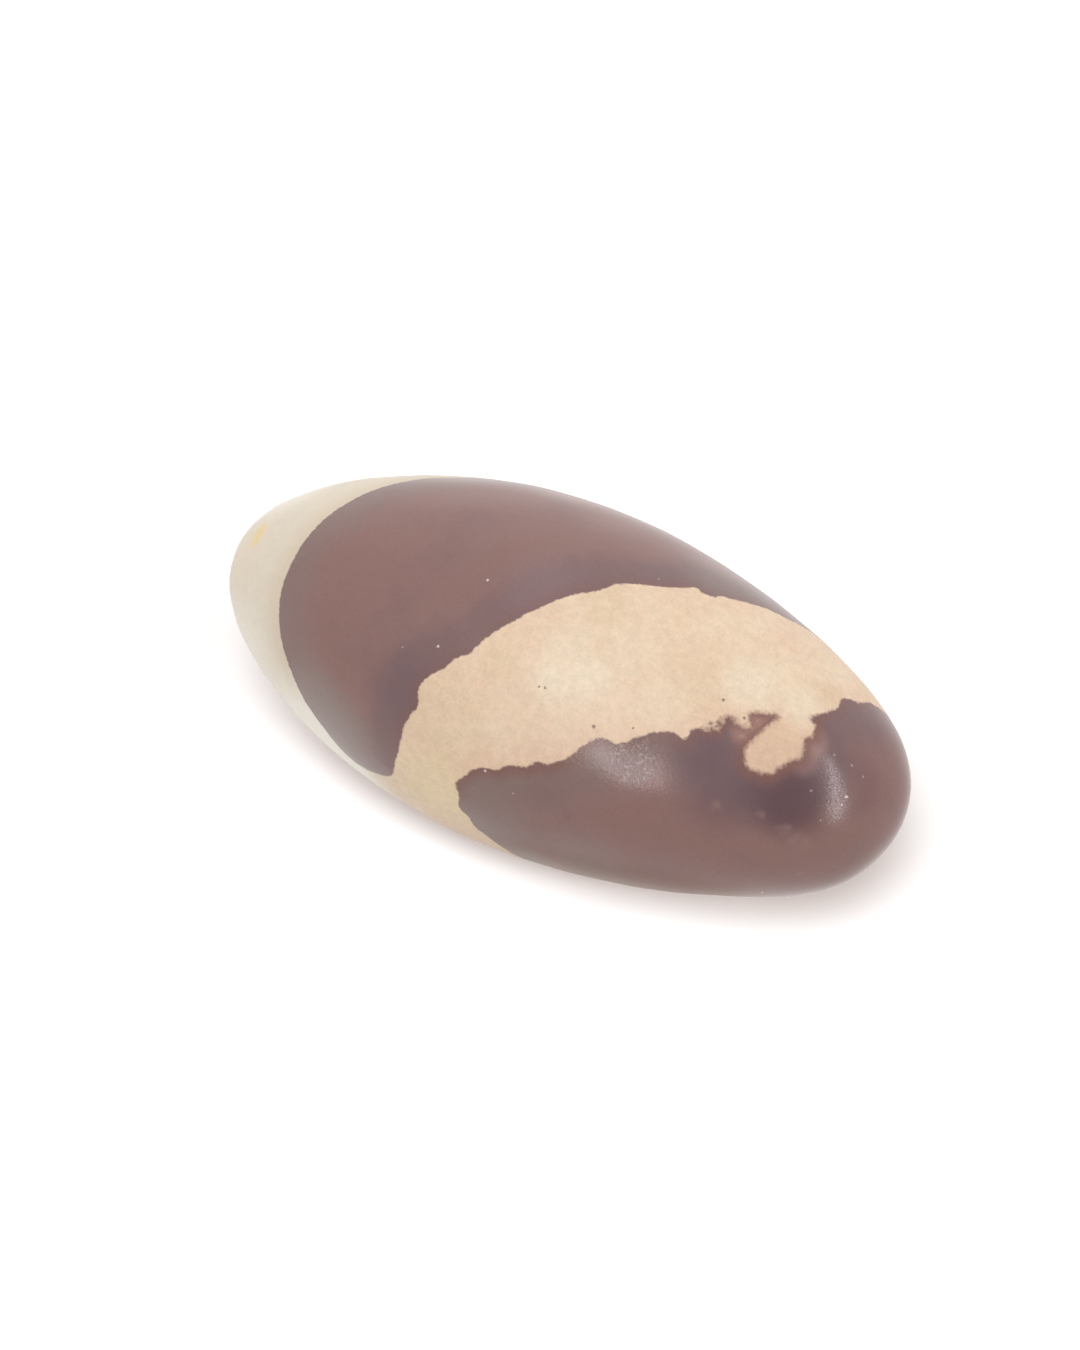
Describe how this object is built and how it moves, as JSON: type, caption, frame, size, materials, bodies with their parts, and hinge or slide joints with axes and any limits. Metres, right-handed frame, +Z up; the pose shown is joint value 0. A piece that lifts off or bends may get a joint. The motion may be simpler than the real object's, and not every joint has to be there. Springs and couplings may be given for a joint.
{
  "type": "shiva lingam stone",
  "caption": "Smooth long egg-shaped polished river stone with maroon and cream bands, lying on its side on a small worn flat; a hand-held or display stone.",
  "frame": {"origin": "on the surface that the stone lies on, under the middle of its box", "axes": "+X along the stone towards its blunt end, +Z up out of the surface, +Y to the side that the picture hides"},
  "size_m": [0.0768, 0.0374, 0.0349],
  "materials": {
    "stone": "hand-polished fine sandstone with a waxy half gloss: maroon brown iron-stained patches with ragged edges on cream and tan"
  },
  "bodies": {
    "root": {"stone": "stone"}
  },
  "joints": []
}
